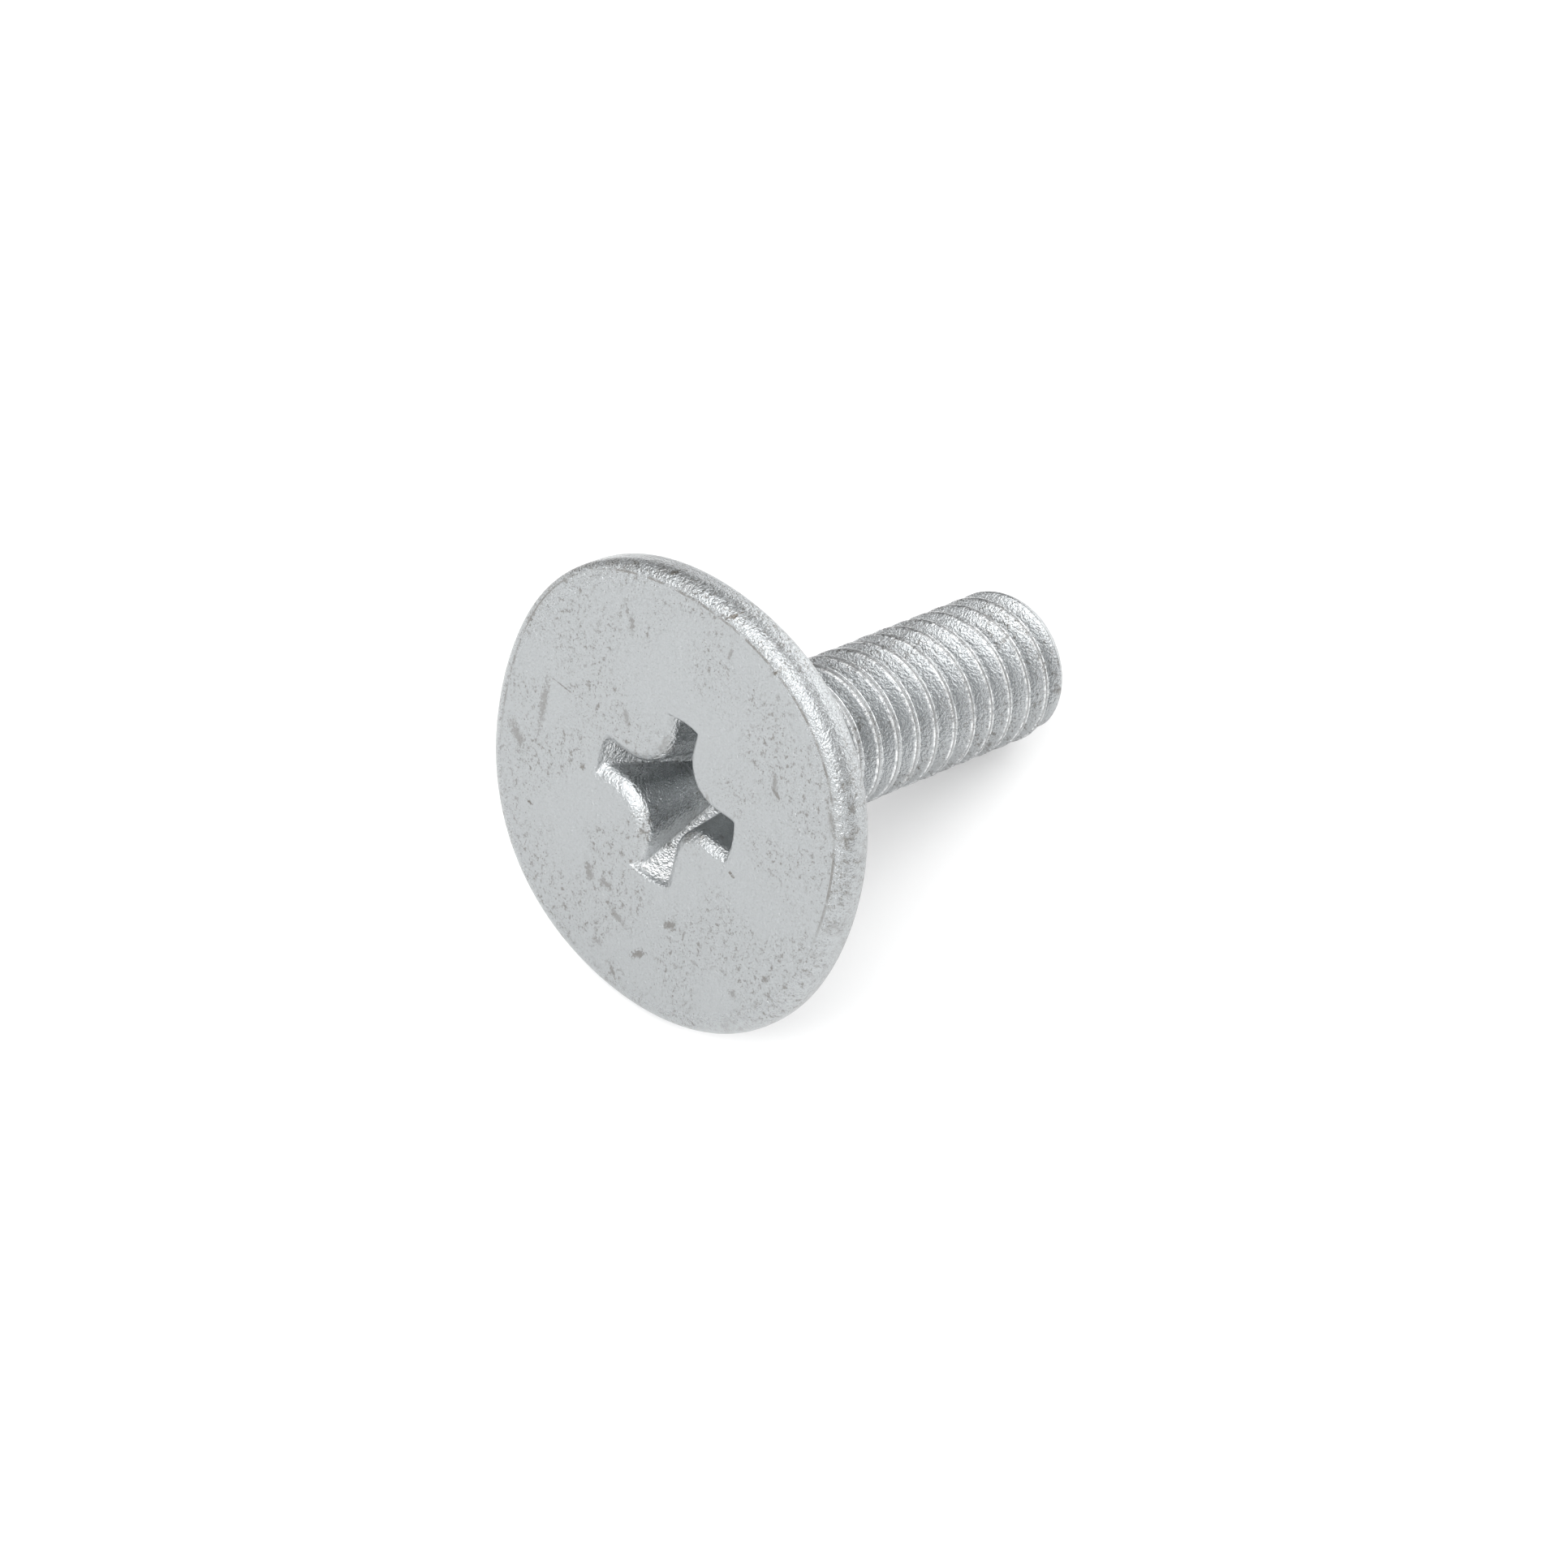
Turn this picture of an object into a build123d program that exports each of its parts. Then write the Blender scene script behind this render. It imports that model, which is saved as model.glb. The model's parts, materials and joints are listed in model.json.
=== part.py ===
from build123d import *
from math import asin, atan, atan2, cos, degrees, hypot, radians, sin, tan
import os

# A machine screw with a wide, thin, flat head and a four-wing driver recess. Sizes are in
# millimetres. It is made along +X, with the front face of the head at x = 0 and the shank
# behind it, and is then laid down as it comes to rest, on its rim and on the end of its thread.

# Head
head_diameter = 11.7
head_thickness = 0.93
front_edge_radius = 0.45
rear_edge_radius = 0.3

# Shank, plain at the crests of its M4 thread
thread_diameter = 3.84
shank_length = 11.95
neck_fillet = 0.3
end_taper_length = 0.4
end_face_diameter = 3.53
end_corner_radius = 0.1

# Driver recess: a tapered hole whose wings are what is left between four round lobes
recess_span = 4.47
recess_taper = 26.5
taper_depth = 2.27
point_angle = 62.0
lobe_gap = 2.34
lobe_radius = 1.48
lobe_draft = 3.0
lip_radius = 0.24
lip_arc = 60.0

# What follows from the sizes
head_radius = head_diameter / 2
thread_radius = thread_diameter / 2
end_radius = end_face_diameter / 2
total_length = head_thickness + shank_length
taper_start = total_length - end_taper_length
wing_radius = recess_span / 2
floor_radius = wing_radius - taper_depth * tan(radians(recess_taper))
point_depth = taper_depth + floor_radius / tan(radians(point_angle))
lobe_distance = lobe_gap / 2 + lobe_radius


def screw_blank():
    """The turned outline: rounded disc head, filleted neck, shank and tapered end."""
    corners = [
        (0, 0),
        (0, head_radius),
        (head_thickness, head_radius),
        (head_thickness, thread_radius),
        (taper_start, thread_radius),
        (total_length, end_radius),
        (total_length, 0),
    ]
    radii = [front_edge_radius, rear_edge_radius, neck_fillet, end_corner_radius, end_corner_radius]
    outline = FilletPolyline(*corners, radius=radii) + Line(corners[-1], corners[0])
    return revolve(make_face(outline), Axis.X)


def recess_cone():
    """The wings' tapered ends, down to the pointed floor of the recess."""
    above = -1.0
    mouth_radius = wing_radius - above * tan(radians(recess_taper))
    outline = Polyline(
        (above, 0),
        (above, mouth_radius),
        (taper_depth, floor_radius),
        (point_depth, 0),
        close=True,
    )
    return revolve(make_face(outline), Axis.X)


def lobe():
    """One round lobe that bulges into the recess between two wings, with its rolled lip."""
    above = -1.0
    below = point_depth + 0.5
    lip_depth = lip_radius * sin(radians(lip_arc))
    lip_inset = lip_radius * (1 - cos(radians(lip_arc)))
    half_arc = radians(lip_arc / 2)
    lip_middle = (
        lip_depth - lip_radius * sin(half_arc),
        lobe_radius - lip_radius * (1 - cos(half_arc)),
    )
    foot_radius = lobe_radius + (below - lip_depth) * tan(radians(lobe_draft))
    lip_top = (0, lobe_radius - lip_inset)
    wall_top = (lip_depth, lobe_radius)
    outline = (
        Line((above, 0), (above, lip_top[1]))
        + Line((above, lip_top[1]), lip_top)
        + ThreePointArc(lip_top, lip_middle, wall_top)
        + Line(wall_top, (below, foot_radius))
        + Line((below, foot_radius), (below, 0))
        + Line((below, 0), (above, 0))
    )
    return revolve(make_face(outline), Axis.X)


def driver_recess():
    """The cone less the four lobes, which leaves four wings, up, down and to the sides."""
    hole = recess_cone()
    for quarter in range(4):
        around = radians(45 + 90 * quarter)
        hole -= Pos(0, lobe_distance * cos(around), lobe_distance * sin(around)) * lobe()
    return hole


def resting_tilt():
    """The angle at which one line touches both the rear edge of the head and the thread's end."""
    taper_angle = atan((thread_radius - end_radius) / end_taper_length)
    rim_x = head_thickness - rear_edge_radius
    rim_r = head_radius - rear_edge_radius
    end_x = taper_start - end_corner_radius * tan(taper_angle / 2)
    end_r = thread_radius - end_corner_radius
    run = end_x - rim_x
    fall = rim_r - end_r
    return degrees(atan2(fall, run) + asin((rear_edge_radius - end_corner_radius) / hypot(run, fall)))


tilt = resting_tilt()
lying = Rot(0, tilt, 0) * (screw_blank() - driver_recess())
box = lying.bounding_box()
shift = (-(box.min.X + box.max.X) / 2, -(box.min.Y + box.max.Y) / 2, -box.min.Z)
bolt = Pos(*shift) * lying

os.makedirs("parts", exist_ok=True)
export_step(bolt, "parts/bolt.step")


def in_place(along, out):
    """A point of the finished screw, from its place along the axis and its height over it."""
    turn = radians(tilt)
    x = along * cos(turn) + out * sin(turn) + shift[0]
    z = out * cos(turn) - along * sin(turn) + shift[2]
    return (round(x, 4), round(shift[1], 4), round(z, 4))


thread_start = head_thickness + neck_fillet
print("tilt", round(tilt, 4))
print("axis", round(cos(radians(tilt)), 6), 0, round(-sin(radians(tilt)), 6))
print("face centre", in_place(0, 0))
print("bearing face point", in_place(head_thickness, 4.1))
print("shank middle", in_place((thread_start + taper_start) / 2, 0))
print("shank wall length", round(taper_start - thread_start, 3))
print("recess depth", round(point_depth, 3))
print("box", bolt.bounding_box().size)
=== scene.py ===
import json
import math

import bmesh
import bpy
import numpy as np
from mathutils import Matrix, Vector


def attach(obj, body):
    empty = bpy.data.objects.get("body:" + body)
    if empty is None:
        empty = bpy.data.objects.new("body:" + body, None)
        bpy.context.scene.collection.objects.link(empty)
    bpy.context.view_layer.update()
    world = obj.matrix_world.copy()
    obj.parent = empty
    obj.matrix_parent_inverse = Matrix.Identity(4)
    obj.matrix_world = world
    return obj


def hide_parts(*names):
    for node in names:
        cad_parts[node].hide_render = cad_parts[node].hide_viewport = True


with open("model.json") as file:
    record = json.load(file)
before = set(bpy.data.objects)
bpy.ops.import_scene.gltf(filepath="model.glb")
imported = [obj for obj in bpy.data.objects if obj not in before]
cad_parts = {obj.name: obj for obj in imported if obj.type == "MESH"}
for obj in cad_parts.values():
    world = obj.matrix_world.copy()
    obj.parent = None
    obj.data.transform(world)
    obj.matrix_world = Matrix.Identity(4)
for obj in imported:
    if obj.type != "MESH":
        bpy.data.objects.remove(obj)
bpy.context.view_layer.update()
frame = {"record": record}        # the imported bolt, its record and its mounts
print("frame loaded")

mm = 0.001
fullTurn = 2 * math.pi
mounts = {mount["name"]: mount for mount in frame["record"]["mounts"]}
faceCentre = Vector(mounts["driver_recess"]["pos_m"])
screwAxis = Vector(mounts["shank"]["axis"]).normalized()
toTheLeft = Vector((0, 1, 0))
overTheAxis = screwAxis.cross(toTheLeft)

# The screw is drawn in millimetres along +X, with its face at x = 0, and is then laid down
screwToFrame = Matrix((screwAxis, toTheLeft, overTheAxis)).transposed().to_4x4()
screwToFrame.translation = faceCentre


# A socket in a node tree, with the operators that its maths needs
class Wire:
    def __init__(self, tree, socket=None):
        self.tree = tree
        self.socket = socket

    def node(self, kind, settings=None, sockets=None, output=0):
        made = self.tree.nodes.new(kind)
        for name, value in (settings or {}).items():
            setattr(made, name, value)
        for name, value in (sockets or {}).items():
            if isinstance(value, Wire):
                self.tree.links.new(value.socket, made.inputs[name])
            else:
                made.inputs[name].default_value = value
        if not len(made.outputs):
            return made
        return Wire(self.tree, made.outputs[output])

    def maths(self, operation, *values):
        return self.node("ShaderNodeMath", {"operation": operation}, dict(enumerate(values)))

    def __add__(self, other):
        return self.maths("ADD", self, other)

    def __radd__(self, other):
        return self.maths("ADD", other, self)

    def __sub__(self, other):
        return self.maths("SUBTRACT", self, other)

    def __rsub__(self, other):
        return self.maths("SUBTRACT", other, self)

    def __mul__(self, other):
        return self.maths("MULTIPLY", self, other)

    def __truediv__(self, other):
        return self.maths("DIVIDE", self, other)

    def __abs__(self):
        return self.maths("ABSOLUTE", self)

    def root(self):
        return self.maths("SQRT", self)

    def fraction(self):
        return self.maths("FRACT", self)

    def sine(self):
        return self.maths("SINE", self)

    def cosine(self):
        return self.maths("COSINE", self)

    def angle(self, other):
        return self.maths("ARCTAN2", self, other)

    def atLeast(self, other):
        return self.maths("MAXIMUM", self, other)

    def atMost(self, other):
        return self.maths("MINIMUM", self, other)

    def roundedAtLeast(self, other, rounding):
        return self.maths("SMOOTH_MAX", self, other, rounding)

    def roundedAtMost(self, other, rounding):
        return self.maths("SMOOTH_MIN", self, other, rounding)

    def over(self, span, levels=(0.0, 1.0)):
        # taken smoothly from one level to the other while the value crosses a span
        limits = {1: span[0], 2: span[1], 3: levels[0], 4: levels[1]}
        return self.node("ShaderNodeMapRange", {"interpolation_type": "SMOOTHSTEP"}, {0: self, **limits})

    def past(self, span):
        return self.over(span)

    def before(self, span):
        return self.over(span, (1.0, 0.0))

    def axes(self):
        return [self.node("ShaderNodeSeparateXYZ", {}, {0: self}, axis) for axis in range(3)]


# Camera, with its aim and distance in millimetres
photoView = {
    "azimuth": -45.617,
    "elevation": 46.081,
    "aim": (-0.1909, 1.1850, 1.5069),
    "distance": 210.728,
    "fieldOfView": 10.513,
    "nearest": 10.0,
    "farthest": 20000.0,
}


def placeCamera(sizes):
    azimuth = math.radians(sizes["azimuth"])
    elevation = math.radians(sizes["elevation"])
    level = math.cos(elevation)
    back = Vector((math.sin(azimuth) * level, -math.cos(azimuth) * level, math.sin(elevation)))
    lens = bpy.data.cameras.new("photoCamera")
    lens.sensor_fit = "HORIZONTAL"
    lens.angle = math.radians(sizes["fieldOfView"])
    lens.clip_start = sizes["nearest"] * mm
    lens.clip_end = sizes["farthest"] * mm
    camera = bpy.data.objects.new("photoCamera", lens)
    camera.location = (Vector(sizes["aim"]) + back * sizes["distance"]) * mm
    camera.rotation_euler = (-back).to_track_quat("-Z", "Y").to_euler()
    bpy.context.scene.collection.objects.link(camera)
    bpy.context.scene.camera = camera


placeCamera(photoView)
print("camera placed")

# Thread, in millimetres along the screw from its face and out from its axis
thread = {
    "pitch": 0.7,
    "phase": 0.766,
    "crestRadius": 1.92,
    "depth": 0.40,
    "flankAngle": 60.0,           # between a flank and the axis, as on any metric thread
    "crestFlatNearHead": 0.19,
    "crestFlatNearTip": 0.11,
    "flatsChangeFrom": 6.0,
    "flatsChangeTo": 9.5,
    "seamDepth": 0.045,           # rolling leaves a fine seam along the middle of each crest
    "crestRounding": 0.012,
    "rootRounding": 0.05,
    "start": 1.18,
    "end": 12.80,
    "neckRadius": 1.80,
    "runOutStart": 1.3,
    "runOutEnd": 2.1,
    "taperStart": 12.48,
    "taperSlope": 0.3875,
    "taperRounding": 0.04,
    "endRadius": 1.72,
    "endBlend": 0.08,
    "weldDistance": 0.0004,
    "columns": 192,
    "rowsPerPitch": 18,
    "crowding": 0.6,
}


def spoken(name):
    # crestRadius becomes Crest Radius
    return "".join(" " + letter if letter.isupper() else letter for letter in name).title()


def threadInputs(sizes, material):
    # what the thread's tree reads, under the names of its inputs
    firstTurn = math.floor(sizes["start"] / sizes["pitch"] + sizes["phase"]) - 1
    turns = math.ceil((sizes["end"] - sizes["start"]) / sizes["pitch"]) + 3
    values = {spoken(name): value for name, value in sizes.items()}
    values["Flank Slope"] = math.tan(math.radians(values.pop("Flank Angle")))
    values["First Turn"] = float(firstTurn)
    values["Turns"] = float(turns)
    values["Columns"] = sizes["columns"] + 1
    values["Rows"] = turns * values.pop("Rows Per Pitch") + 1
    values["Finish"] = material
    return values


def socketKind(value):
    if isinstance(value, bpy.types.Material):
        return "NodeSocketMaterial"
    return "NodeSocketInt" if isinstance(value, int) else "NodeSocketFloat"


def threadTree(values):
    tree = bpy.data.node_groups.new("rolledThread", "GeometryNodeTree")
    tree.interface.new_socket(name="Geometry", in_out="OUTPUT", socket_type="NodeSocketGeometry")
    for name, value in values.items():
        tree.interface.new_socket(name=name, in_out="INPUT", socket_type=socketKind(value))
    entry = tree.nodes.new("NodeGroupInput")
    given = {socket.name: Wire(tree, socket) for socket in entry.outputs if socket.name}
    wire = Wire(tree)
    grid = wire.node("GeometryNodeMeshGrid", {}, {
        "Size X": 1.0, "Size Y": 1.0, "Vertices X": given["Columns"], "Vertices Y": given["Rows"]})
    gridPlace = wire.node("GeometryNodeInputPosition").axes()
    across = gridPlace[0] + 0.5
    along = gridPlace[1] + 0.5

    # the rows stand closer together at the crests, which lie halfway between whole turns
    rowTurn = along * given["Turns"] * fullTurn
    rowTurn = rowTurn + rowTurn.sine() * given["Crowding"]
    turns = given["First Turn"] + rowTurn / fullTurn + across - given["Phase"]
    s = (turns * given["Pitch"]).atLeast(given["Start"]).atMost(given["End"])
    share = (s / given["Pitch"] - across + given["Phase"]).fraction()
    fromCrest = abs(share - 0.5) * given["Pitch"]

    # the profile: flat crests with their seam, straight flanks and round roots
    flatsChange = (given["Flats Change From"], given["Flats Change To"])
    halfFlat = s.over(flatsChange, (given["Crest Flat Near Head"], given["Crest Flat Near Tip"])) / 2
    flank = (fromCrest - halfFlat) * given["Flank Slope"]
    cut = flank.roundedAtLeast(0.0, given["Crest Rounding"])
    cut = cut.roundedAtMost(given["Depth"], given["Root Rounding"])
    seam = (1 - fromCrest / halfFlat).atLeast(0.0)
    profile = given["Crest Radius"] - cut - seam * given["Seam Depth"]

    # the tapered end, the run-out at the neck and the last step down to the end face
    cone = given["Crest Radius"] - (s - given["Taper Start"]) * given["Taper Slope"]
    profile = profile.roundedAtMost(cone, given["Taper Rounding"])
    grown = s.past((given["Run Out Start"], given["Run Out End"]))
    radius = given["Neck Radius"] + (profile - given["Neck Radius"]) * grown
    ending = s.past((given["End"] - given["End Blend"], given["End"]))
    radius = radius + (given["End Radius"] - radius) * ending

    angle = across * fullTurn
    place = wire.node("ShaderNodeCombineXYZ", {}, {
        0: s, 1: radius * angle.cosine(), 2: radius * angle.sine()})
    bent = wire.node("GeometryNodeSetPosition", {}, {"Geometry": grid, "Position": place})
    welded = wire.node("GeometryNodeMergeByDistance", {}, {
        "Geometry": bent, "Distance": given["Weld Distance"]})
    real = wire.node("GeometryNodeRealizeInstances", {}, {"Geometry": welded})
    painted = wire.node("GeometryNodeSetMaterial", {}, {"Geometry": real, "Material": given["Finish"]})
    wire.node("NodeGroupOutput", {}, {"Geometry": painted})
    return tree


def threadMesh(sizes, material):
    values = threadInputs(sizes, material)
    tree = threadTree(values)
    holder = bpy.data.objects.new("threadHolder", bpy.data.meshes.new("threadHolder"))
    bpy.context.scene.collection.objects.link(holder)
    modifier = holder.modifiers.new("thread", "NODES")
    modifier.node_group = tree
    for item in tree.interface.items_tree:
        if item.in_out == "INPUT":
            modifier[item.identifier] = values[item.name]
    evaluated = holder.evaluated_get(bpy.context.evaluated_depsgraph_get())
    mesh = bpy.data.meshes.new_from_object(evaluated)
    bpy.data.objects.remove(holder)
    return mesh


# Head, in millimetres, with the few steps that draw its roundings
head = {
    "radius": 5.8756,
    "thickness": 0.93,
    "rearRadius": 0.3,
    "waves": {2: (-0.0059, 0.0027), 3: (0.0027, 0.0033), 4: (-0.0136, -0.0017)},
    "frontRounding": 0.455,
    "tightBy": 0.275,             # the front edge is rounded less towards the upper left
    "tightAt": 40.0,
    "tightOver": 27.0,
    "neckFillet": 0.25,
    "columns": 384,
    "frontSteps": 10,
    "rearSteps": 6,
    "neckSteps": 6,
    "faceShares": (0.04, 0.12, 0.26, 0.45, 0.70, 1.0),
    "backRadii": (4.8, 3.8, 2.9),
}

# Driver recess: a tapered hole whose four wings are left between four uneven lobes with rolled lips
recess = {
    "wingRadius": 2.24,
    "taper": 26.5,
    "pointDepth": 2.857,
    "edgeRounding": 0.05,
    "cornerRounding": 0.12,
    "cornerLoss": 0.27,
    "lobes": (
        {"before": 0.36, "after": 0.29, "corner": 1.22, "lipWidth": 0.32, "lipDepth": 0.30, "lipPower": 1.6},
        {"before": 0.415, "after": 0.625, "corner": 1.1, "lipWidth": 0.12, "lipDepth": 0.12, "lipPower": 2.0},
        {"before": 0.27, "after": 0.58, "corner": 0.82, "lipWidth": 0.28, "lipDepth": 0.26, "lipPower": 1.6},
        {"before": 0.22, "after": 0.27, "corner": 1.35, "lipWidth": 0.38, "lipDepth": 0.25, "lipPower": 1.6},
    ),
    "lipDepths": (0, 0.003, 0.011, 0.024, 0.042, 0.066, 0.095, 0.13, 0.17, 0.215, 0.265, 0.32, 0.38),
    "wallDepths": (0.45, 0.55, 0.7, 0.9, 1.1, 1.3, 1.5, 1.7, 1.9, 2.1, 2.2, 2.3),
    "floorShares": (0.94, 0.84, 0.70, 0.52, 0.34, 0.17),
    "spacingDepth": 0.05,
    "spacingSamples": 20001,
    "leastSlope": 0.01,
}

# End face, as places along the screw and radii, from its edge to its slightly hollow middle
endFace = {
    "profile": ((12.80, 1.72), (12.85, 1.70), (12.877, 1.64), (12.88, 1.52), (12.86, 1.1), (12.82, 0.55)),
    "middle": 12.81,
}

# How the parts become one mesh: distances in millimetres, and where its edges stay sharp
joining = {
    "weld": 0.0004,
    "sliver": 0.00001,
    "sharpAngle": 32.0,
    "sharpDepth": 3.0,
    "sharpRadius": 2.5,
}


def rimRadius(around):
    # the rim is a little out of round
    share = np.ones_like(around)
    for count, (cosine, sine) in head["waves"].items():
        share = share + cosine * np.cos(count * around) + sine * np.sin(count * around)
    return head["radius"] * share


def frontRounding(around):
    away = (np.degrees(around) - head["tightAt"] + 180) % 360 - 180
    return head["frontRounding"] - head["tightBy"] * np.exp(-(away / head["tightOver"]) ** 2)


def ring(s, radius, around):
    s = np.broadcast_to(s, around.shape)
    return np.stack([s, radius * np.cos(around), radius * np.sin(around)], 1)


def lipInset(depth, width, height, power=2.0):
    # how far a rolled lip stands back from its wall: a quarter of an ellipse, or flatter with a lower power
    left = max(0.0, 1 - depth / height)
    return width * (1 - (1 - left ** power) ** (1 / power))


def lobeEntry(lobe, depth, turn):
    # the distance from the axis at which a ray enters a lobe, for rays turned from the wing before it
    inset = lipInset(depth, lobe["lipWidth"], lobe["lipDepth"], lobe["lipPower"])
    corner = lobe["corner"] - recess["cornerLoss"] * depth
    across = np.array((lobe["after"] + corner, lobe["before"] + corner))
    reach = across[0] * np.cos(turn) + across[1] * np.sin(turn)
    under = (corner - inset) ** 2 - (across @ across - reach ** 2)
    entry = reach - np.sqrt(np.maximum(under, 0))
    nearBefore = turn < math.atan2(lobe["before"] + inset, across[0])
    nearAfter = turn > math.atan2(across[1], lobe["after"] + inset)
    besideBefore = (lobe["before"] + inset) / np.maximum(np.sin(turn), recess["leastSlope"])
    besideAfter = (lobe["after"] + inset) / np.maximum(np.cos(turn), recess["leastSlope"])
    return np.where(nearBefore, besideBefore, np.where(nearAfter, besideAfter, entry))


def recessRadius(depth, around):
    # the nearer of the tapered wing ends and the lobes, with the corners between them rounded
    cone = recess["wingRadius"] - depth * math.tan(math.radians(recess["taper"]))
    cone += lipInset(depth, recess["edgeRounding"], recess["edgeRounding"])
    reach = np.empty_like(around)
    quarters = (around // (math.pi / 2)).astype(int) % 4
    for quarter, lobe in enumerate(recess["lobes"]):
        inside = quarters == quarter
        reach[inside] = lobeEntry(lobe, depth, around[inside] - quarter * math.pi / 2)
    soft = recess["cornerRounding"]
    overlap = np.maximum(soft - np.abs(reach - cone), 0) / soft
    return np.minimum(reach, cone) - overlap ** 2 * soft / 4


def recessColumns():
    # angles round the recess that space the columns evenly along its outline
    around = np.linspace(0, fullTurn, recess["spacingSamples"])
    radius = recessRadius(recess["spacingDepth"], around[:-1])
    radius = np.append(radius, radius[0])
    steps = np.hypot(np.diff(radius * np.cos(around)), np.diff(radius * np.sin(around)))
    length = np.append(0, np.cumsum(steps))
    columns = []
    for quarter in range(4):
        ends = np.interp([quarter * math.pi / 2, (quarter + 1) * math.pi / 2], around, length)
        places = np.linspace(ends[0], ends[1], head["columns"] // 4 + 1)[:-1]
        columns.append(np.interp(places, length, around))
    return np.concatenate(columns)


def recessRings():
    # from the pointed floor up the walls and over the lips
    columns = recessColumns()
    depths = recess["lipDepths"] + recess["wallDepths"]
    rings = [ring(depth, recessRadius(depth, columns), columns) for depth in depths]
    lowest = depths[-1]
    deepest = recessRadius(lowest, columns)
    for share in recess["floorShares"]:
        depth = lowest + (recess["pointDepth"] - lowest) * (1 - share ** 2) ** 0.5
        rings.append(ring(depth, deepest * share, columns))
    rings.reverse()
    return rings


def evenColumns(count):
    return fullTurn * np.arange(count) / count


def headRings():
    # on from the recess over the face, round the rim and in again to the neck
    rings = recessRings()
    outline = rings[-1]
    even = evenColumns(head["columns"])
    rim = rimRadius(even)
    front = frontRounding(even)
    flatEdge = ring(0.0, rim - front, even)
    for share in head["faceShares"]:
        rings.append(outline + (flatEdge - outline) * share)
    for step in range(1, head["frontSteps"] + 1):
        turn = math.radians(90 * step / head["frontSteps"])
        rings.append(ring(front * (1 - math.cos(turn)), rim - front * (1 - math.sin(turn)), even))
    rear = head["rearRadius"]
    back = head["thickness"]
    for step in range(head["rearSteps"] + 1):
        turn = math.radians(90 * step / head["rearSteps"])
        rings.append(ring(back - rear + rear * math.sin(turn), rim - rear * (1 - math.cos(turn)), even))
    for radius in (*head["backRadii"], thread["neckRadius"] + head["neckFillet"]):
        rings.append(ring(back, np.full(head["columns"], radius), even))
    return rings


def skin(rings, middle):
    # quads between rings, and a fan that closes the first ring at its middle
    count = len(rings[0])
    points = np.concatenate(rings).tolist()
    faces = []
    for row in range(len(rings) - 1):
        for column in range(count):
            after = (column + 1) % count
            faces.append((row * count + column, row * count + after,
                          (row + 1) * count + after, (row + 1) * count + column))
    points.append(middle)
    for column in range(count):
        faces.append((len(points) - 1, (column + 1) % count, column))
    return points, faces


def neckSkin():
    # from the last ring of the head, with twice the columns, to the start of the thread
    count = head["columns"]
    half = count // 2
    fillet = head["neckFillet"]
    back = head["thickness"]
    wide = np.full(count, thread["neckRadius"] + fillet)
    points = ring(back, wide, evenColumns(count)).tolist()
    for step in range(1, head["neckSteps"] + 1):
        turn = math.radians(90 * step / head["neckSteps"])
        radius = np.full(half, thread["neckRadius"] + fillet * (1 - math.sin(turn)))
        points.extend(ring(back + fillet * (1 - math.cos(turn)), radius, evenColumns(half)).tolist())
    faces = []
    for column in range(half):
        low = count + column
        high = count + (column + 1) % half
        faces.append((2 * column, 2 * column + 1, low))
        faces.append((2 * column + 1, high, low))
        faces.append((2 * column + 1, (2 * column + 2) % count, high))
    for row in range(head["neckSteps"] - 1):
        base = count + row * half
        for column in range(half):
            after = (column + 1) % half
            faces.append((base + column, base + after, base + half + after, base + half + column))
    return points, faces


def endSkin():
    around = evenColumns(thread["columns"])
    rings = [ring(s, np.full(thread["columns"], radius), around) for s, radius in endFace["profile"]]
    rings.reverse()
    return skin(rings, (endFace["middle"], 0, 0))


def sharpenRecess(shape):
    # the recess's corners stay sharp where two walls meet at a real angle
    for edge in shape.edges:
        middle = (edge.verts[0].co + edge.verts[1].co) / 2
        near = middle.x < joining["sharpDepth"] and math.hypot(middle.y, middle.z) < joining["sharpRadius"]
        if near and edge.is_manifold and edge.calc_face_angle() > math.radians(joining["sharpAngle"]):
            edge.smooth = False


def screwPiece(material):
    shape = bmesh.new()
    shape.from_mesh(threadMesh(thread, material))
    for points, faces in (skin(headRings(), (recess["pointDepth"], 0, 0)), neckSkin(), endSkin()):
        verts = [shape.verts.new(point) for point in points]
        for face in faces:
            shape.faces.new([verts[index] for index in face])
    bmesh.ops.remove_doubles(shape, verts=shape.verts, dist=joining["weld"])
    bmesh.ops.dissolve_degenerate(shape, dist=joining["sliver"], edges=shape.edges)
    bmesh.ops.recalc_face_normals(shape, faces=shape.faces)
    print("open or doubled edges", sum(not edge.is_manifold for edge in shape.edges))
    for face in shape.faces:
        face.smooth = True
        face.material_index = 0
    sharpenRecess(shape)
    shape.transform(screwToFrame @ Matrix.Scale(mm, 4))
    mesh = bpy.data.meshes.new("flatHeadScrew")
    shape.to_mesh(mesh)
    shape.free()
    mesh.materials.clear()
    mesh.materials.append(material)
    piece = bpy.data.objects.new("flatHeadScrew", mesh)
    bpy.context.scene.collection.objects.link(piece)
    print("screw triangles", sum(len(polygon.vertices) - 2 for polygon in mesh.polygons))
    return piece


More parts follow.
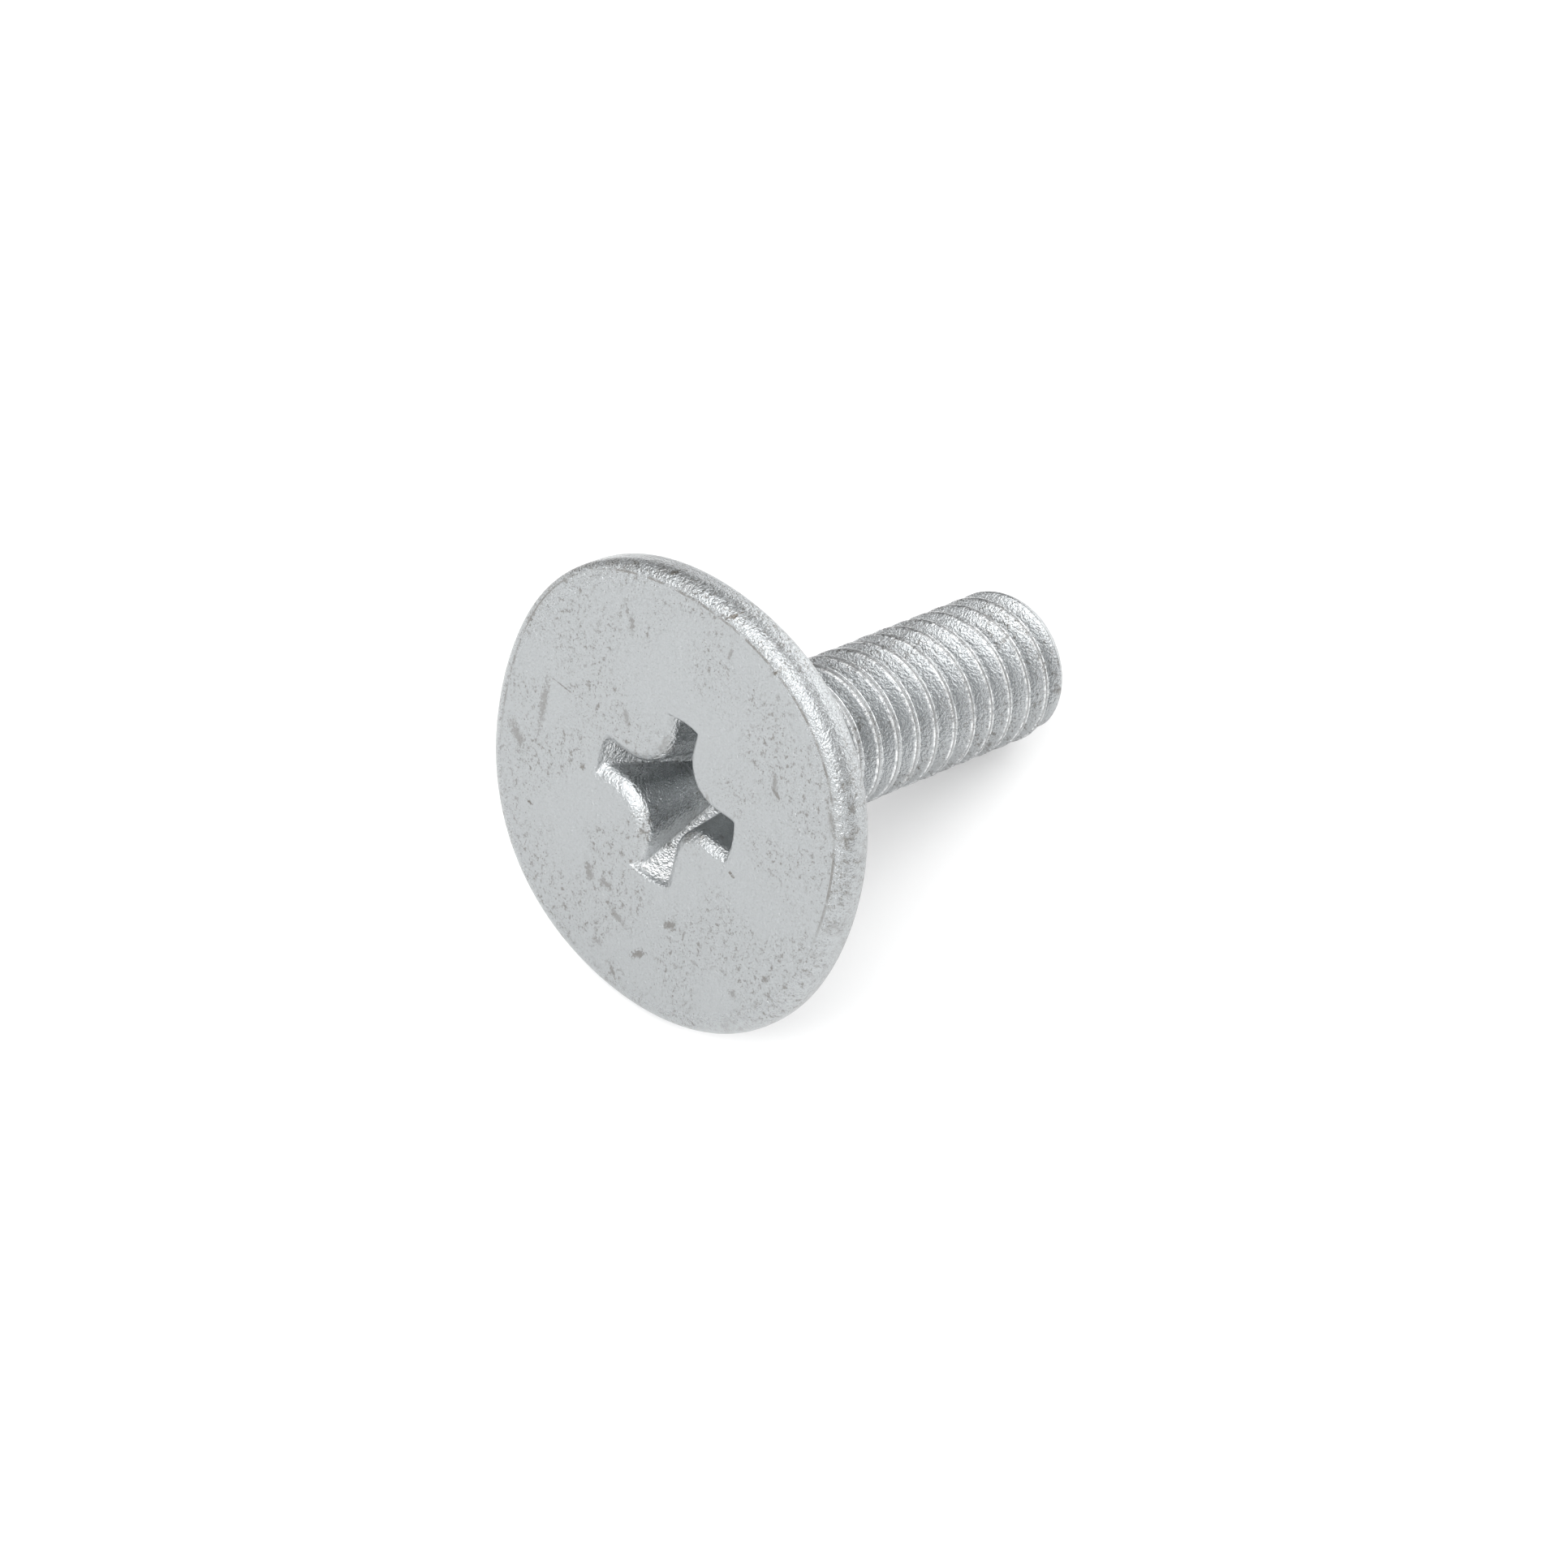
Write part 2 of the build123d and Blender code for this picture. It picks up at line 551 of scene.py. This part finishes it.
# Zinc flake coating, with its colour, roughness and grain on each part of the screw; the recess and thread
# colours are lightened as painted light, and pale colours on the wing ends and crest edges are painted
# highlights
zincFlake = {
    "metallic": 1.0,
    # dirt colour, used also for painted shade in the crest seams and on the rim
    "dirt": (0.17, 0.16, 0.145),
    "grainSize": 0.066,
    "grainDetail": 2.0,
    "grainRoughness": 0.6,
    "waveSize": 0.22,
    "waveShare": 0.9,
    "lessOnThread": 0.55,
    "face": {"colour": (0.407, 0.423, 0.431), "roughness": 0.31, "grain": 0.45},
    "rim": {"roughness": 0.25, "grain": 0.55},
    # painted light: the recess is coloured lighter to stand in for light that its deep hollow lacks
    "recess": {"colour": (0.530, 0.548, 0.556), "roughness": 0.23, "grain": 0.60},
    # painted light: the thread is coloured lighter to make up for its shaded roots
    "thread": {"colour": (0.465, 0.481, 0.490), "roughness": 0.26, "grain": 0.42},
    # painted highlight: the wing ends with drag ridges are coloured pale to look lit
    "dragMarksAndHighlight": {"colour": (0.940, 0.950, 0.955), "roughness": 0.42},
    # painted highlight along the edges of the crests
    "paintedCrestHighlight": {"colour": (0.860, 0.872, 0.880)},
}


def noise(wire, places, scale, detail=2.0, roughness=0.5):
    return wire.node("ShaderNodeTexNoise", {}, {
        "Vector": places, "Scale": scale, "Detail": detail, "Roughness": roughness})


def mottling(wire, spot, recipe):
    return noise(wire, spot["places"], *recipe["noise"]).past(recipe["shown"])


def surfaceSpot(wire):
    # the surface's own place, turned into the screw's frame, in millimetres
    back = screwToFrame.inverted()
    places = wire.node("ShaderNodeMapping", {"vector_type": "POINT"}, {
        "Vector": wire.node("ShaderNodeTexCoord", output="Object"),
        "Location": back.to_translation() / mm,
        "Rotation": back.to_euler(),
        "Scale": (1 / mm, 1 / mm, 1 / mm),
    })
    depth, left, up = places.axes()
    return {
        "places": places,
        "depth": depth,
        "left": left,
        "up": up,
        "out": (left * left + up * up).root(),
        "around": up.angle(left),
    }


# Where the parts of the screw give way to each other, along the screw and out from its axis
regions = {
    "headEnds": (1.0, 1.1),
    "threadColourStarts": (1.1, 1.6),
    "outsideEndFace": (1.3, 1.4),
    "rimStarts": (5.2, 5.55),
    "recessMouth": (2.27, 2.33),
    "recessStarts": (0.03, 0.25),
    "recessStops": (2.9, 3.0),
}

# The punch has left short fine drag ridges at the ends of the wings, most of all the lower one; there the
# colour is also painted pale as a painted highlight
dragMarks = {
    "wingEnds": (2.10, 2.18),
    "lowerWing": (-1.1, -0.3),
    "lowerLevels": (1.0, 0.1),
    "leftWing": (0.9, 1.7),
    "leftLevels": (0.0, 0.35),
    "width": 0.030,
    "length": 0.055,
    "height": 0.080,
    "noise": (0.5, 2.0, 0.6),
}


def regionMasks(spot):
    depth, out = spot["depth"], spot["out"]
    onHead = depth.before(regions["headEnds"])
    mouthReach = out + depth * math.tan(math.radians(recess["taper"]))
    inRecess = mouthReach.before(regions["recessMouth"])
    inRecess = inRecess * depth.past(regions["recessStarts"]) * depth.before(regions["recessStops"])
    # the drag-ridge places, which also get a pale colour as a painted highlight
    dragMarksAndHighlight = spot["up"].over(dragMarks["lowerWing"], dragMarks["lowerLevels"])
    dragMarksAndHighlight = dragMarksAndHighlight + spot["left"].over(dragMarks["leftWing"], dragMarks["leftLevels"])
    return {
        "head": onHead,
        "rim": out.past(regions["rimStarts"]) * onHead,
        "recess": inRecess,
        "dragMarksAndHighlight": mouthReach.past(dragMarks["wingEnds"]) * inRecess * dragMarksAndHighlight,
        "thread": (1 - onHead) * out.past(regions["outsideEndFace"]),
        # where the thread's lighter colour, a painted light, applies
        "threadPaintedLight": depth.past(regions["threadColourStarts"]) * (1 - inRecess),
    }


# Dark specks in loose patches, more of them near the rim, and a fine dust of them outside the recess;
# each noise is a scale, a detail and a roughness
specks = {
    "patches": (0.55, 3.0, 0.5),
    "nearRim": (2.5, 5.6),
    "rimLevels": (0.0, 0.07),
    "fine": {"noise": (5.5, 6.0, 0.8), "shown": (0.535, 0.60), "crowded": (0.43, 0.60), "tone": 0.72},
    "dots": {"noise": (16.0, 4.0, 0.75), "shown": (0.58, 0.65), "crowded": (0.34, 0.58), "tone": 1.0},
    "dust": {"noise": (16.0, 4.0, 0.8), "shown": (0.42, 0.72), "tone": 0.16},
}


def speckTone(wire, spot, masks):
    crowd = noise(wire, spot["places"], *specks["patches"])
    crowd = crowd + spot["out"].over(specks["nearRim"], specks["rimLevels"])
    tone = mottling(wire, spot, specks["dust"]) * specks["dust"]["tone"] * (1 - masks["recess"])
    for name in ("fine", "dots"):
        shown = mottling(wire, spot, specks[name]) * crowd.past(specks[name]["crowded"])
        tone = tone.atLeast(shown * specks[name]["tone"])
    return tone


# Marks on the face, as left and up from its centre, half length, half width, turn and tone
faceMarks = {
    "pits": (
        (3.88, -2.45, 0.09, 0.05, 0, 0.9),
        (2.60, -0.62, 0.08, 0.08, 0, 0.55),
        (-4.20, -2.65, 0.10, 0.09, 0, 0.5),
        (-2.46, -0.64, 0.10, 0.05, 20, 0.6),
    ),
    "streaks": (
        (2.46, 4.02, 0.13, 0.05, 60, 0.4),
        (2.20, 3.75, 0.22, 0.08, 70, 0.4),
        (-3.00, 2.35, 0.28, 0.07, 68, 0.35),
        (-3.12, 2.10, 0.16, 0.06, 30, 0.5),
        (0.20, -5.20, 0.20, 0.05, 50, 0.45),
        (4.20, 0.30, 0.75, 0.10, 86, 0.35),
        (3.80, 1.04, 0.42, 0.018, 3, 0.5),
        (-4.90, 2.30, 0.40, 0.09, 60, 0.35),
    ),
    "smudges": (
        (-0.40, -4.30, 0.26, 0.10, -40, 0.5),
        (0.85, -4.70, 0.14, 0.10, 0, 0.3),
        (-3.40, -3.58, 0.12, 0.10, 0, 0.35),
        (1.65, -3.10, 0.26, 0.12, 60, 0.4),
        (1.00, -3.12, 0.20, 0.10, 20, 0.4),
        (-1.12, -3.02, 0.20, 0.12, -30, 0.5),
        (0.45, -3.75, 0.30, 0.10, 20, 0.35),
        (1.70, 1.38, 0.22, 0.10, 60, 0.3),
        (4.75, -0.95, 0.40, 0.16, 40, 0.35),
    ),
    "nicks": (
        (-0.55, 5.60, 0.16, 0.04, -45, 0.9),
        (-2.18, 5.00, 0.07, 0.04, -60, 0.8),
        (1.52, 5.58, 0.08, 0.05, -40, 0.8),
        (-0.80, 4.72, 0.06, 0.18, 0, 0.35),
    ),
}
markEdges = {
    "noise": (11.0, 5.0, 0.75),
    "middle": 0.48,
    "raggedness": 6.0,
    "fade": (0.7, 1.25),
    "deepest": (0.5, 0.6),
    "throughDepth": 1000.0,
    "tone": 1.5,
}


def markTone(wire, spot):
    # each mark is an ellipse with a ragged edge, and the darkest mark wins
    ragged = noise(wire, spot["places"], *markEdges["noise"]) - markEdges["middle"]
    ragged = ragged * markEdges["raggedness"]
    darkest = 0.0
    for marks in faceMarks.values():
        for left, up, halfLength, halfWidth, turn, tone in marks:
            inside = wire.node("ShaderNodeMapping", {"vector_type": "TEXTURE"}, {
                "Vector": spot["places"],
                "Location": (0, left, up),
                "Rotation": (math.radians(turn), 0, 0),
                "Scale": (markEdges["throughDepth"], halfLength, halfWidth),
            })
            reach = wire.node("ShaderNodeVectorMath", {"operation": "LENGTH"}, {0: inside}, "Value")
            darkest = (reach + ragged).over(markEdges["fade"], (tone, 0.0)).atLeast(darkest)
    return darkest * spot["depth"].before(markEdges["deepest"]) * markEdges["tone"]


# Marks on the rim: its rounding is darker at the upper left, partly real mottling and partly a painted dark
# reflection, it has a painted shade line in the crease at its foot, and scuffs lie at its lower right;
# dullFrom and dullTo are angles in radians, the other places millimetres
rimWearAndShade = {
    "dull": {"noise": (3.5, 4.0, 0.7), "shown": (0.38, 0.62), "tone": 0.42},
    "dullFrom": (0.35, 0.60),
    "dullTo": (1.20, 1.60),
    "dullStarts": (0.012, 0.05),
    "dullStops": (0.20, 0.32),
    # painted shade: a dark line in the crease at the foot of the rounding
    "line": {"noise": (1.3, 4.0, 0.7), "shown": (0.40, 0.56), "tone": 0.7},
    "lineStarts": (0.0002, 0.0012),
    "lineStops": (0.004, 0.012),
    "lineOut": (4.0, 4.6),
    "lineUp": (-2.5, 1.0),
    "scuffs": {"noise": (4.5, 5.0, 0.75), "shown": (0.48, 0.66), "tone": 0.4},
    "scuffsOut": (5.15, 5.45),
    "scuffsRight": (-3.6, -2.6),
    "scuffsUp": (2.0, 3.6),
}


def wearAndShadeTones(wire, spot, masks):
    depth, around, out = spot["depth"], spot["around"], spot["out"]
    # a darker band on the upper left of the rounding, partly real mottling and partly a painted dark
    # reflection
    dull = around.past(rimWearAndShade["dullFrom"]) * around.before(rimWearAndShade["dullTo"])
    dull = dull * depth.past(rimWearAndShade["dullStarts"]) * depth.before(rimWearAndShade["dullStops"])
    # a painted shade line in the crease at the foot of the rounding
    line = depth.past(rimWearAndShade["lineStarts"]) * depth.before(rimWearAndShade["lineStops"]) * masks["head"]
    line = line * spot["up"].past(rimWearAndShade["lineUp"]) * out.past(rimWearAndShade["lineOut"])
    scuffs = out.past(rimWearAndShade["scuffsOut"]) * masks["head"]
    scuffs = scuffs * spot["left"].before(rimWearAndShade["scuffsRight"]) * spot["up"].before(rimWearAndShade["scuffsUp"])
    places = {"dull": dull, "line": line, "scuffs": scuffs}
    return [mottling(wire, spot, rimWearAndShade[name]) * place * rimWearAndShade[name]["tone"]
            for name, place in places.items()]


# The two edges of each crest are painted bright as a painted highlight, with painted shade in the seam
# between them
crestHighlightAndSeamShade = {
    "edge": (0.006, 0.030),
    "edgeNoise": (7.0, 3.0, 0.5),
    "edgeShown": (0.40, 0.58),
    "seam": (0.012, 0.04),
    "seamShadeLevels": (0.4, 0.0),
    "threadEnds": (12.3, 12.5),
    "threadStarts": (1.6, 2.1),
}


def crestLightMasks(wire, spot):
    depth = spot["depth"]
    whirl = depth / thread["pitch"] - spot["around"] / fullTurn + thread["phase"]
    fromCrest = abs(whirl.fraction() - 0.5) * thread["pitch"]
    halfFlats = (thread["crestFlatNearHead"] / 2, thread["crestFlatNearTip"] / 2)
    edgePlace = depth.over((thread["flatsChangeFrom"], thread["flatsChangeTo"]), halfFlats)
    grown = depth.past(crestHighlightAndSeamShade["threadStarts"]) * depth.before(crestHighlightAndSeamShade["threadEnds"])
    broken = noise(wire, spot["places"], *crestHighlightAndSeamShade["edgeNoise"]).past(crestHighlightAndSeamShade["edgeShown"])
    # painted highlight along both edges of each crest
    edge = abs(fromCrest - edgePlace).before(crestHighlightAndSeamShade["edge"]) * grown * broken
    # painted shade in the seam along each crest
    seam = fromCrest.over(crestHighlightAndSeamShade["seam"], crestHighlightAndSeamShade["seamShadeLevels"]) * grown
    return edge, seam


def paintedOver(wire, below, mask, colour):
    return wire.node("ShaderNodeMix", {"data_type": "RGBA"}, {0: mask, 6: below, 7: (*colour, 1)}, 2)


def colourWithPaintedLight(wire, look, masks, paintedCrestHighlight):
    bare = (*look["face"]["colour"], 1)
    # painted light: a lighter recess
    bare = paintedOver(wire, bare, masks["recess"], look["recess"]["colour"])
    # painted light: a lighter thread
    bare = paintedOver(wire, bare, masks["threadPaintedLight"], look["thread"]["colour"])
    # painted highlight on the wing ends with drag ridges
    bare = paintedOver(wire, bare, masks["dragMarksAndHighlight"], look["dragMarksAndHighlight"]["colour"])
    # painted highlight on the crest edges
    return paintedOver(wire, bare, paintedCrestHighlight, look["paintedCrestHighlight"]["colour"])


def levelOnParts(look, masks, kind):
    level = look["face"][kind]
    for part in ("recess", "thread", "rim"):
        level = level + masks[part] * (look[part][kind] - look["face"][kind])
    return level


def coatingRelief(wire, look, spot, masks):
    # flakes that tip the surface this way and that, which sparkles near the highlights
    grain = noise(wire, spot["places"], 1 / look["grainSize"], look["grainDetail"], look["grainRoughness"])
    waves = noise(wire, spot["places"], 1 / look["waveSize"])
    share = look["waveShare"] - (1 - masks["head"]) * look["lessOnThread"]
    relief = (grain - 0.5 + (waves - 0.5) * share) * levelOnParts(look, masks, "grain")
    length = 1 / dragMarks["length"]
    pulled = wire.node("ShaderNodeMapping", {"vector_type": "POINT"}, {
        "Vector": spot["places"], "Scale": (1 / dragMarks["width"], length, length)})
    ridges = (noise(wire, pulled, *dragMarks["noise"]) - 0.5) * (dragMarks["height"] / look["grainSize"])
    return wire.node("ShaderNodeBump", {}, {
        "Height": relief + ridges * masks["dragMarksAndHighlight"], "Strength": 1.0, "Distance": look["grainSize"] * mm})


def zincFinish(look):
    material = bpy.data.materials.new("zincFlake")
    material.use_nodes = True
    material.node_tree.nodes.clear()
    wire = Wire(material.node_tree)
    spot = surfaceSpot(wire)
    masks = regionMasks(spot)
    # painted shade in the crest seams comes first, then dirt specks, marks and the rim's wear and painted
    # shade, the darkest winning
    paintedCrestHighlight, dirt = crestLightMasks(wire, spot)
    for tone in (speckTone(wire, spot, masks), markTone(wire, spot), *wearAndShadeTones(wire, spot, masks)):
        dirt = dirt.atLeast(tone)
    roughness = levelOnParts(look, masks, "roughness")
    roughness = roughness + masks["dragMarksAndHighlight"] * (look["dragMarksAndHighlight"]["roughness"] - look["recess"]["roughness"])
    coated = wire.node("ShaderNodeBsdfPrincipled", {}, {
        "Base Color": paintedOver(wire, colourWithPaintedLight(wire, look, masks, paintedCrestHighlight), dirt, look["dirt"]),
        "Metallic": look["metallic"],
        "Roughness": roughness,
        "Normal": coatingRelief(wire, look, spot, masks),
    })
    wire.node("ShaderNodeOutputMaterial", {}, {"Surface": coated})
    return material


coating = zincFinish(zincFlake)
print("coating made")
screw = screwPiece(coating)
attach(screw, "root")
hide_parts("bolt")
print("screw made")

# Floor and sky, with levels by the height and the side that a ray looks to
stage = {
    "floorAlbedo": 0.8,
    "floorLift": 0.28,
    "floorSize": 4.0,
    "horizon": 0.92,
    "sky": 0.60,
    "skyFade": (0.2, 0.5),
    "brightRim": (0.06, 0.16),
    "darkSide": 0.7,
    "darkFromSide": (0.45, 0.80),
    "darkStarts": (0.10, 0.22),
    "darkStops": (0.40, 0.62),
}


def layFloor(sizes):
    material = bpy.data.materials.new("paleFloor")
    material.use_nodes = True
    material.node_tree.nodes.clear()
    wire = Wire(material.node_tree)
    albedo = sizes["floorAlbedo"]
    plain = {"Base Color": (albedo, albedo, albedo, 1), "Roughness": 1.0, "Specular IOR Level": 0.0}
    matt = wire.node("ShaderNodeBsdfPrincipled", {}, plain)
    lifted = wire.node("ShaderNodeBsdfPrincipled", {}, {
        **plain, "Emission Color": (1, 1, 1, 1), "Emission Strength": sizes["floorLift"]})
    seen, mirrored, through = [wire.node("ShaderNodeLightPath", output=name) for name in (
        "Is Camera Ray", "Is Glossy Ray", "Is Transmission Ray")]
    both = wire.node("ShaderNodeMixShader", {}, {0: seen + mirrored + through, 1: matt, 2: lifted})
    wire.node("ShaderNodeOutputMaterial", {}, {"Surface": both})
    half = sizes["floorSize"] / 2
    corners = [(-half, -half, 0), (half, -half, 0), (half, half, 0), (-half, half, 0)]
    mesh = bpy.data.meshes.new("paleFloor")
    mesh.from_pydata(corners, [], [(0, 1, 2, 3)])
    mesh.materials.append(material)
    floor = bpy.data.objects.new("paleFloor", mesh)
    bpy.context.scene.collection.objects.link(floor)


def lightSky(sizes):
    world = bpy.data.worlds.new("softStudio")
    bpy.context.scene.world = world
    world.use_nodes = True
    world.node_tree.nodes.clear()
    wire = Wire(world.node_tree)
    side, height = wire.node("ShaderNodeTexCoord", output="Generated").axes()[1:]
    level = height.over(sizes["skyFade"], (sizes["horizon"], sizes["sky"]))
    level = level + height.over(sizes["brightRim"], (1 - sizes["horizon"], 0.0))
    low = height.past(sizes["darkStarts"]) * height.before(sizes["darkStops"])
    level = level * (1 - side.past(sizes["darkFromSide"]) * low * sizes["darkSide"])
    colour = wire.node("ShaderNodeCombineColor", {}, {0: level, 1: level, 2: level})
    background = wire.node("ShaderNodeBackground", {}, {"Color": colour, "Strength": 1.0})
    wire.node("ShaderNodeOutputWorld", {}, {"Surface": background})


# Lamps, in metres from the middle of the screw
screwMiddle = Vector((0, 0, 0.007))
lamps = {
    "softLamp": {"towards": (-0.50, 0.00, 0.82), "distance": 0.6, "width": 1.0, "watts": 3.9},
    "keyLamp": {"towards": (-0.72, 0.12, 0.64), "distance": 0.55, "width": 0.36, "watts": 0.8},
    "sideLamp": {"towards": (0.82, -0.36, 0.34), "distance": 0.6, "width": 0.66, "watts": 1.6},
    "wallLamp": {"towards": (0.87, 0.20, 0.44), "distance": 0.6, "width": 0.46, "watts": 0.7},
}


def hangLamp(name, sizes):
    light = bpy.data.lights.new(name, "AREA")
    light.shape = "DISK"
    light.size = sizes["width"]
    light.energy = sizes["watts"]
    lamp = bpy.data.objects.new(name, light)
    way = Vector(sizes["towards"]).normalized()
    lamp.location = way * sizes["distance"] + screwMiddle
    lamp.rotation_euler = way.to_track_quat("Z", "Y").to_euler()
    lamp.visible_camera = False
    bpy.context.scene.collection.objects.link(lamp)


layFloor(stage)
lightSky(stage)
for name, sizes in lamps.items():
    hangLamp(name, sizes)
bpy.context.scene.view_settings.view_transform = "Standard"
print("stage lit")
